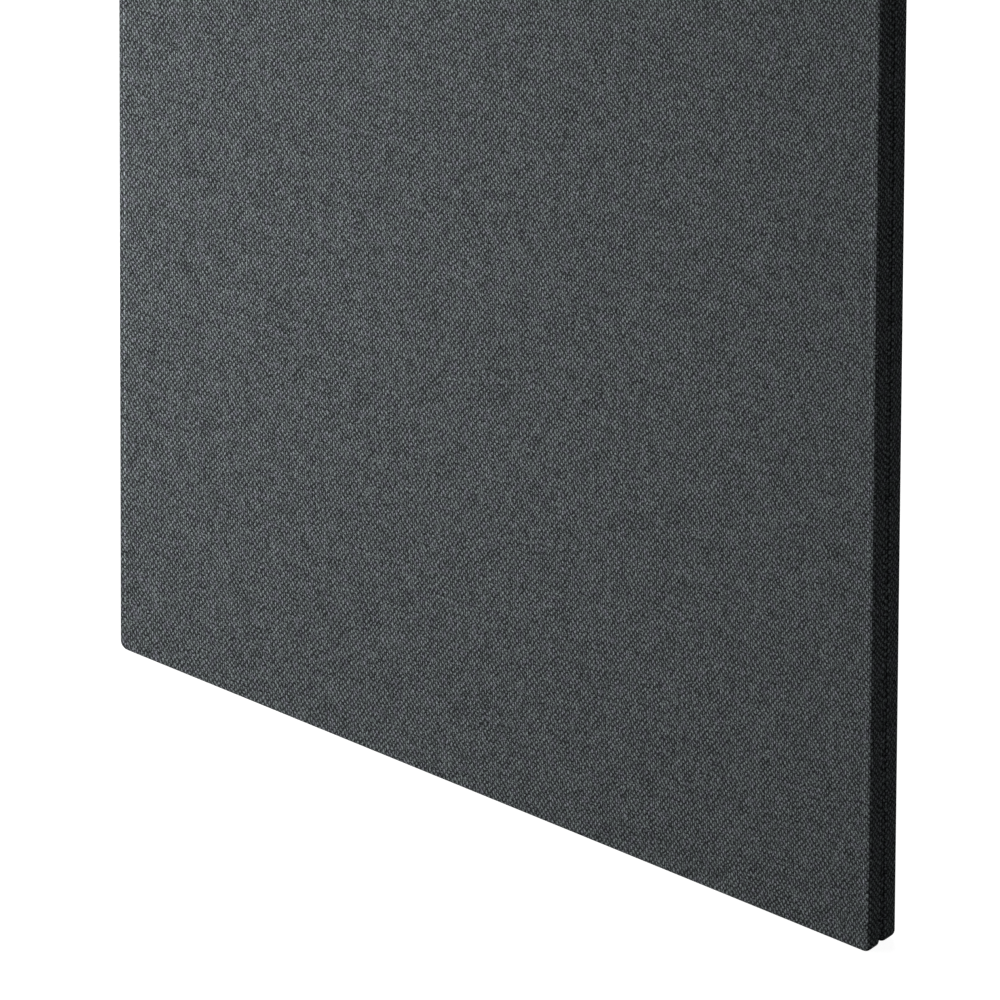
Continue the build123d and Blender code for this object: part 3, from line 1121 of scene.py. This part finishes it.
@dataclass
class StretchedCover(WrappedForm):
    """A cloth cover with a tension crease up each upright arris and lips that close the groove."""

    mouth: float = 3.0 * MM
    lip_swell: float = 1.0 * MM
    lip_run: float = 0.7
    crease_inset: float = 6.9 * MM
    crease_width: float = 0.9 * MM
    crease_height: float = 0.26 * MM
    crease_right: float = 0.22
    crease_fade: float = 45.0 * MM
    wander_length: float = 90.0 * MM
    wander_shift: float = 0.2
    wander_share: float = 0.3
    bead_length: float = 4.0 * MM
    bead_share: float = 0.35
    pucker_height: float = 0.30 * MM
    pucker_length: float = 11.0 * MM
    pucker_reach: float = 9.0 * MM

    def upright(self, x: float, z: float) -> float:
        """Finds how strong the crease is at a place: nothing off the upright sides.

        Args:
            x: X of the place of the outline.
            z: Z of that place.

        Returns:
            The strength, up to 1 on the left.
        """
        outline = self.outline
        side = min(1.0, max(0.0, (abs(x) - outline.half) / outline.corner))
        ends = min(z - outline.low, outline.high - z) / self.crease_fade
        strength = 1.0 if x < 0 else self.crease_right
        return strength * side * min(1.0, max(0.0, ends))

    def crease(self, inset: float, x: float, z: float) -> float:
        """Shapes the tension crease: gentle towards the arris and steep on its inner side.

        Args:
            inset: Distance in from the outline.
            x: X of the nearest place of the outline.
            z: Z of that place.

        Returns:
            The crease's rise at full strength.
        """
        wide, fine = self.wander_length, self.bead_length
        wander = noise.noise(Vector((x / wide, z / wide, 3.0 * self.facing)))
        beads = noise.noise(Vector((x / fine, z / fine, 8.0)))
        off = (inset - self.crease_inset) / self.crease_width - self.wander_shift * wander
        ridge = math.exp(-((2 * off) ** 2 if off > 0 else off * off))
        uneven = 1.0 + self.wander_share * wander + self.bead_share * beads
        return self.crease_height * uneven * ridge

    def swell(self, inset: float, depth: float, x: float, z: float) -> float:
        """Swells the lip to the other one, but not on the slider's side or along the foot.

        Args:
            inset: Distance in from the outline.
            depth: Distance from the mid-plane.
            x: X of the nearest place of the outline.
            z: Z of that place.

        Returns:
            The lip's rise.
        """
        above = max(0.0, depth - self.section[-1][1]) / self.mouth
        inward = max(0.0, inset - self.mouth) / (self.lip_run * self.mouth)
        run = 0.5 * (1.0 - above) + 0.5 * inward
        if above >= 1.0 or run >= 1.0:
            return 0.0
        outline = self.outline
        clear = min(1.0, max(0.0, (x + outline.half) / (4 * outline.corner)))
        clear *= min(1.0, max(-0.5, (z - outline.low) / outline.corner - 0.5))
        return self.lip_swell * clear * math.sin(math.pi * run) ** 2

    def edge_rise(self, inset: float, depth: float, x: float, z: float) -> float:
        """Finds how far the cloth stands out at its edge.

        Args:
            inset: Distance in from the outline.
            depth: Distance from the mid-plane.
            x: X of the nearest place of the outline.
            z: Z of that place.

        Returns:
            The rise, in metres.
        """
        on_face = depth > self.top - TINY
        crease = self.upright(x, z) * self.crease(inset, x, z) if on_face else 0.0
        near = max(0.0, 1.0 - (depth - self.section[-1][1]) / self.pucker_reach)
        length = self.pucker_length
        gather = noise.noise(Vector((x / length, z / length, 5.0 * self.facing)))
        return crease + self.pucker_height * near * gather + self.swell(inset, depth, x, z)


@dataclass(frozen=True)
class SoftHalf:
    """One soft half of the panel: a foam wrap with a cloth cover stretched over it."""

    half: Half
    lip_swell: float
    arris: float = 3.6 * MM
    mouth: float = 3.0 * MM
    lip: float = 6.0 * MM
    cloth: float = 1.0 * MM
    foam: float = 3.0 * MM
    foam_flat: float = 6.0 * MM
    turn_in: float = 10.0 * MM
    crease_step: float = 0.28 * MM
    wall_step: float = 2.2 * MM
    lip_step: float = 1.0 * MM
    tray_step: float = 3.0 * MM
    arris_runs: int = 8
    mouth_runs: int = 6

    def depths(self) -> Spot:
        """Distances from the mid-plane of the side of the lip and of the face."""
        return reach(f"{self.half.word}_cover")

    def rounding(self, shrink: float) -> Section:
        """Draws the section from the start of the arris to the start of the lip.

        Args:
            shrink: How far it lies inside the cover's outer side.

        Returns:
            The points.
        """
        near, far = self.depths()
        arris = (self.arris, far - self.arris)
        mouth = (self.mouth, near + self.mouth)
        wall = spread(mouth[1], arris[1], self.wall_step)[-2:0:-1]
        return [
            *arc(arris, self.arris - shrink, 90, 180, self.arris_runs),
            *[(shrink, depth) for depth in wall],
            *arc(mouth, self.mouth - shrink, 180, 270, self.mouth_runs),
        ]

    def build_cover(self) -> None:
        """Builds the cloth cover, cuts it out round the foot plates and dresses it."""
        near, far = self.depths()
        outline = panel_outline()
        creased = spread(self.arris, outline.corner, self.crease_step)[:0:-1]
        tucked = spread(self.mouth, self.lip, self.lip_step)[1:]
        section = [(inset, far) for inset in creased]
        section += self.rounding(0.0)
        section += [(inset, near) for inset in tucked]
        form = StretchedCover(
            f"cloth_cover_{self.half.word}",
            outline,
            section,
            self.half.value,
            mouth=self.mouth,
            lip_swell=self.lip_swell,
        )
        cover = form.skin().object()
        thick = cover.modifiers.new("cloth thickness", "SOLIDIFY")
        thick.thickness = self.cloth
        thick.offset = -1.0
        thick.use_even_offset = True
        PlateCutter().cut(cover)
        dress(cover, SlateMelange(outline.width / 2), "cover_fabric", f"{self.half.word}_cover")

    def build_foam(self) -> None:
        """Builds the foam wrap, a tray that fits over the facing board, and dresses it."""
        near, far = self.depths()
        outline = panel_outline()
        top, lip = far - self.cloth, near + self.cloth
        inner = self.cloth + self.foam
        board = far - inner
        section = [(outline.corner, top), (self.foam_flat, top), *self.rounding(self.cloth)]
        section += [(inner, depth) for depth in spread(lip, board, self.tray_step)]
        section += [(outline.corner, board)]
        name = f"foam_wrap_{self.half.word}"
        foam = WrappedForm(name, outline, section, self.half.value, True).skin().object()
        PlateCutter().cut(foam)
        dress(foam, WrapFoam(), "foam_wrap", f"{self.half.word}_foam")


@dataclass(frozen=True)
class AbsorberSlab:
    """A felt slab that fills one bay of the frame, a little crowned and soft at its edges."""

    node: str
    corner: float = 5.0 * MM
    arris: float = 2.5 * MM
    arris_runs: int = 5
    clear: float = 0.3 * MM
    wall_step: float = 4.0 * MM
    face_step: float = 16.0 * MM

    def build(self) -> None:
        """Builds the slab and dresses it."""
        low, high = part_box(self.node)
        width = high.x - low.x - 2 * self.clear
        height = high.z - low.z - 2 * self.clear
        outline = PanelOutline(width, height, low.z + self.clear, self.corner)
        depth = high.y - self.clear
        edge = depth - self.arris
        section = [
            (self.corner, depth),
            *arc((self.arris, edge), self.arris, 90, 180, self.arris_runs),
            *[(0.0, y) for y in spread(-edge, edge, self.wall_step)[-2:0:-1]],
            *arc((self.arris, -edge), self.arris, 180, 270, self.arris_runs),
            (self.corner, -depth),
        ]
        name = f"felt_{self.node}"
        form = WrappedForm(name, outline, section, Half.FRONT.value, True, self.face_step)
        slab = form.skin().object()
        dress(slab, PressedFelt(), "absorber_felt", self.node)


# ---------------------------------------------------------------------------- zip in the groove


@dataclass(frozen=True)
class EdgePath:
    """A path round the panel's edge that can be read at any distance along it."""

    places: list[EdgePoint]
    radius: float

    def lengths(self) -> list[float]:
        """Measures the path.

        Returns:
            The distance along the path to each of its places.
        """
        made = [0.0]
        for before, here in zip(self.places, self.places[1:]):
            made.append(made[-1] + math.dist(before.at(self.radius), here.at(self.radius)))
        return made

    def sample(self, step: float) -> list[tuple[Vector, Vector]]:
        """Reads the path at even distances.

        Args:
            step: The distance between samples.

        Returns:
            A point of the path and a unit vector outwards for each sample.
        """
        lengths = self.lengths()
        made = []
        k = 0
        for index in range(int(lengths[-1] / step) + 1):
            here = index * step
            while k < len(lengths) - 2 and lengths[k + 1] < here:
                k += 1
            share = (here - lengths[k]) / max(lengths[k + 1] - lengths[k], TINY * MM)
            near, far = self.places[k], self.places[k + 1]
            hub = Vector(near.hub).lerp(Vector(far.hub), share)
            out = Vector(near.out).lerp(Vector(far.out), share).normalized()
            outward = Vector((out.x, 0.0, out.y))
            made.append((Vector((hub.x, 0.0, hub.y)) + outward * self.radius, outward))
        return made


@dataclass(frozen=True)
class ZipHalf:
    """One half of the zip that joins the covers in the groove: a woven tape and its coil.

    The slider's travel holds a whole number of turns, so it sits on the coil alike at both ends.
    """

    half: Half
    tape: float = 0.4 * MM
    tape_bead: float = 0.25 * MM
    path_step: float = 6.0 * MM
    corner_runs: int = 12
    travel: float = 1700.0 * MM
    turns: int = 944
    wire: float = 0.16 * MM
    past_middle: float = 0.25 * MM
    turn_points: int = 8
    wire_sides: int = 4

    def path(self, node: str, inset: float) -> EdgePath:
        """Draws the path that a piece of the zip follows.

        Args:
            node: The piece's CAD node, whose foot both ends of the path stand at.
            inset: How far in from the outline it lies.

        Returns:
            The path.
        """
        outline = panel_outline()
        places = outline.arch(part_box(node)[0].z, self.path_step, self.corner_runs)
        return EdgePath(places, outline.corner - inset)

    def inset(self, node: str) -> float:
        """How far in from the outline a node's outer side lies."""
        return panel_outline().width / 2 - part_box(node)[1].x

    def build_tape(self) -> None:
        """Builds the tape, a woven strip with a beaded edge next to its coil."""
        node = f"zip_tape_{self.half.word}"
        near, far = reach(node)
        outer = self.inset(node)
        inner = outer + self.tape
        section = [
            (outer, near + self.tape_bead),
            (outer + self.tape / 2, near),
            (inner, near + self.tape_bead),
            (inner, far),
            (outer, far),
        ]
        path = self.path(node, outer)
        lengths = path.lengths()
        skin = Skin(f"zip_tape_weave_{self.half.word}")
        rings = []
        for place in path.places:
            spots = [(place.at(path.radius + outer - inset), depth) for inset, depth in section]
            rings.append([skin.point(x, self.half.value * y, z) for (x, z), y in spots])
        turned = -1 if self.half is Half.FRONT else 1
        for k in range(len(rings) - 1):
            for i in range(len(section)):
                spots = ((k, i - 1), (k, i), (k + 1, i), (k + 1, i - 1))[::turned]
                cloth = [(section[j][1], lengths[ring]) for ring, j in spots]
                skin.face([rings[ring][j] for ring, j in spots], cloth)
        for number in (0, -1):
            skin.face(rings[number], [(depth, lengths[number]) for _, depth in section])
        dress(skin.object(False), WovenTape(), "zip_tape", node)

    def build_coil(self) -> None:
        """Builds the coil, a wire wound along the tape whose heads lock with the other coil's."""
        node = f"zip_coil_{self.half.word}"
        far = reach(node)[1]
        outer, root = self.inset(node), self.inset(f"zip_tape_{self.half.word}")
        rise = (root - outer) / 2 - self.wire
        head = self.wire - self.past_middle
        middle = (head + far - self.wire) / 2
        width = (far - self.wire - head) / 2
        phase = math.pi if self.half is Half.REAR else 0.0
        across = Vector((0.0, self.half.value, 0.0))
        skin = Skin(f"zip_coil_wire_{self.half.word}")
        rings = []
        step = self.travel / self.turns / self.turn_points
        samples = self.path(node, (outer + root) / 2).sample(step)
        for index, (centre, outward) in enumerate(samples):
            angle = TURN * index / self.turn_points + phase
            along = outward.cross(across)
            spoke = across * math.cos(angle) + outward * math.sin(angle)
            spot = centre + across * (middle + width * math.cos(angle))
            spot += outward * (rise * math.sin(angle))
            ring = []
            for side in range(self.wire_sides):
                turn = TURN * (side + 0.5) / self.wire_sides
                shift = spoke * math.cos(turn) + along * math.sin(turn)
                ring.append(skin.point(*(spot + shift * self.wire)))
            rings.append(ring)
        skin.loft(rings, False, True)
        dress(skin.object(), Nylon(), "zip_coil", node)


# ---------------------------------------------------------------------------- hard parts


@dataclass(frozen=True)
class HardPart:
    """CAD pieces that keep their shape and get a finish and softened edges."""

    nodes: tuple[str, ...]
    finish: Finish
    edge: float = 0.0
    edge_segments: int = 2
    joined: float = 0.002 * MM
    sharp: float = 40.0

    def build(self) -> None:
        """Softens the pieces' edges and gives them their material."""
        material = self.finish.material()
        for name in self.nodes:
            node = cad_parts[name]
            node.data.materials.clear()
            node.data.materials.append(material)
            if self.edge:
                weld = node.modifiers.new("joined corners", "WELD")
                weld.merge_threshold = self.joined
                bevel = node.modifiers.new("softened edges", "BEVEL")
                bevel.width = self.edge
                bevel.segments = self.edge_segments
                bevel.limit_method = "ANGLE"
                bevel.angle_limit = math.radians(self.sharp)
            log.info("%s: %s", name, material.name)


@dataclass(frozen=True)
class TimberFrame:
    """The frame under the covers, with its boards, dowels and pins."""

    stiles: tuple[str, ...] = ("stile_left", "stile_right")
    rails: tuple[str, ...] = ("bottom_rail", "mid_rail_lower", "mid_rail_upper", "top_rail")
    boards: tuple[str, ...] = ("front_board", "rear_board")
    early: Colour = (0.62, 0.44, 0.25)
    late: Colour = (0.42, 0.25, 0.11)
    beech: Colour = (0.55, 0.36, 0.21)
    beech_late: Colour = (0.38, 0.22, 0.12)
    steel: Colour = (0.60, 0.60, 0.61)
    steel_bright: Colour = (0.72, 0.72, 0.73)
    edge: float = 0.6 * MM

    def build(self) -> None:
        """Dresses every piece of the frame."""
        upright = Timber("upright softwood", self.early, self.late)
        level = Timber("level softwood", self.early, self.late, Grain.LEVEL)
        dowel = Timber("dowel beech", self.beech, self.beech_late, Grain.LEVEL, rings=420.0)
        wire = Metal("bright wire", self.steel, self.steel_bright, roughness=0.28)
        HardPart(self.stiles, upright, self.edge).build()
        HardPart(self.rails, level, self.edge).build()
        HardPart(self.boards, Hardboard()).build()
        HardPart(("frame_dowels",), dowel).build()
        HardPart(("board_pins",), wire).build()


@dataclass(frozen=True)
class FootPlates:
    """The tapped plates in the underside and the screws that hold them."""

    coat: Colour = (0.035, 0.036, 0.038)
    coat_worn: Colour = (0.075, 0.076, 0.078)
    zinc: Colour = (0.55, 0.56, 0.57)
    zinc_bright: Colour = (0.70, 0.70, 0.68)
    edge: float = 0.35 * MM
    screw_edge: float = 0.1 * MM

    def build(self) -> None:
        """Dresses the plates and the screws."""
        coat = Metal(
            "black powder coat",
            self.coat,
            self.coat_worn,
            metallic=0.0,
            roughness=0.5,
            grain=2600.0,
            relief=0.08 * MM,
        )
        zinc = Metal("zinc plating", self.zinc, self.zinc_bright, roughness=0.3)
        HardPart(FOOT_PLATES, coat, self.edge).build()
        HardPart(("foot_plate_screws",), zinc, self.screw_edge).build()


@dataclass(frozen=True)
class ZipFittings:
    """The slider with its pull, the stops, and the tape that closes the groove below."""

    lacquer: Colour = (0.030, 0.031, 0.033)
    wear_and_crease_highlight: Colour = (0.16, 0.16, 0.165)
    edge: float = 0.12 * MM
    stop_edge: float = 0.08 * MM

    def build(self) -> None:
        """Dresses the fittings."""
        lacquer = Metal(
            "dark lacquer", self.lacquer, self.wear_and_crease_highlight, metallic=0.35, roughness=0.34, wear=0.5
        )
        HardPart(("zip_slider", "zip_pull"), lacquer, self.edge).build()
        HardPart(("zip_end_stops",), lacquer, self.stop_edge).build()
        seam = WovenTape("underside tape", unrolled=False)
        HardPart(("bottom_seam_tape",), seam).build()


# ---------------------------------------------------------------------------- studio


@dataclass(frozen=True)
class Softbox:
    """A square softbox that looks at a point of the panel."""

    name: str
    place: Triple
    target: Triple
    size: float
    power: float

    def build(self) -> None:
        """Hangs the softbox."""
        lamp = bpy.data.lights.new(self.name, "AREA")
        lamp.shape = "SQUARE"
        lamp.size = self.size
        lamp.energy = self.power
        made = bpy.data.objects.new(self.name, lamp)
        made.location = self.place
        aim = Vector(self.target) - Vector(self.place)
        made.rotation_euler = aim.to_track_quat("-Z", "Y").to_euler()
        bpy.context.scene.collection.objects.link(made)


@dataclass(frozen=True)
class Studio:
    """The plain pale floor, the white surround, the softboxes and the long-lens camera."""

    azimuth: float = 37.935
    elevation: float = 30.541
    roll: float = 0.2917
    distance: float = 25.045
    target: Triple = (-0.0065, 0.0, 0.28175)
    lens: float = 1080.0
    floor_half: float = 60.0
    floor_dull: Colour = (0.16, 0.16, 0.16)
    floor_pale: Colour = (0.5, 0.5, 0.5)
    floor_glow: float = 0.95
    surround: float = 0.02
    softboxes: tuple[Softbox, ...] = (
        Softbox("key", (-1.3, -1.5, 0.82), (0.0, 0.0, 0.65), 1.4, 34.0),
        Softbox("rear", (-2.0, 2.3, 2.0), (0.0, 0.0, 0.8), 1.8, 60.0),
        Softbox("side", (2.8, -1.0, 0.7), (0.4, 0.0, 0.3), 1.6, 5.0),
    )

    def build(self) -> None:
        """Builds the whole studio."""
        bpy.context.scene.view_settings.view_transform = "Standard"
        self.camera()
        self.floor()
        self.world()
        for softbox in self.softboxes:
            softbox.build()

    def camera(self) -> None:
        """Sets up the camera."""
        azimuth, elevation = math.radians(self.azimuth), math.radians(self.elevation)
        back = Vector(
            (
                math.sin(azimuth) * math.cos(elevation),
                -math.cos(azimuth) * math.cos(elevation),
                math.sin(elevation),
            )
        )
        right = (-back).cross(Vector((0, 0, 1))).normalized()
        up = right.cross(-back)
        roll = math.radians(self.roll)
        rolled_right = math.cos(roll) * right + math.sin(roll) * up
        rolled_up = math.cos(roll) * up - math.sin(roll) * right
        turned = Matrix((rolled_right, rolled_up, back)).transposed().to_4x4()
        lens = bpy.data.cameras.new("long lens")
        lens.lens = self.lens
        lens.clip_end = 20 * self.distance
        made = bpy.data.objects.new("camera", lens)
        made.matrix_world = Matrix.Translation(Vector(self.target) + self.distance * back) @ turned
        bpy.context.scene.collection.objects.link(made)
        bpy.context.scene.camera = made

    def floor(self) -> None:
        """Lays the floor, pale to the camera and dull to the other rays."""
        skin = Skin("studio_floor")
        half = self.floor_half
        corners = ((-half, -half), (half, -half), (half, half), (-half, half))
        skin.face([skin.point(x, y, 0.0) for x, y in corners])
        made = skin.object(False)
        g = Graph("pale floor")
        seen = g.node("LightPath").outputs["Is Camera Ray"]
        grain = g.noise(g.place(), 3.0, 4.0)
        g.surface(
            Base_Color=g.mix(seen, self.floor_dull, self.floor_pale),
            Roughness=g.scaled(grain, 0.1, 0.85),
            Specular_IOR_Level=0.0,
            Emission_Color=(1.0, 1.0, 1.0),
            Emission_Strength=g.scaled(seen, self.floor_glow),
        )
        made.data.materials.append(g.material)

    def world(self) -> None:
        """Makes the surround white to the camera and nearly dark to the other rays."""
        world = bpy.data.worlds.new("surround")
        world.use_nodes = True
        tree = world.node_tree
        path = tree.nodes.new("ShaderNodeLightPath")
        level = tree.nodes.new("ShaderNodeMapRange")
        level.inputs["To Min"].default_value = self.surround
        level.inputs["To Max"].default_value = 1.0
        ground = tree.nodes["Background"]
        ground.inputs["Color"].default_value = (1.0, 1.0, 1.0, 1.0)
        tree.links.new(path.outputs["Is Camera Ray"], level.inputs["Value"])
        tree.links.new(level.outputs["Result"], ground.inputs["Strength"])
        bpy.context.scene.world = world


# ---------------------------------------------------------------------------- order of work


def main() -> None:
    """Builds the panel from the core outwards, then the studio round it."""
    logging.basicConfig(level=logging.INFO, format="%(name)s: %(message)s")
    TimberFrame().build()
    for node in ("absorber_lower", "absorber_middle", "absorber_upper"):
        AbsorberSlab(node).build()
    for soft in (SoftHalf(Half.FRONT, lip_swell=2.6 * MM), SoftHalf(Half.REAR, lip_swell=0.6 * MM)):
        soft.build_foam()
        soft.build_cover()
        zip_half = ZipHalf(soft.half)
        zip_half.build_tape()
        zip_half.build_coil()
    ZipFittings().build()
    FootPlates().build()
    Studio().build()


if __name__ == "__main__":
    main()
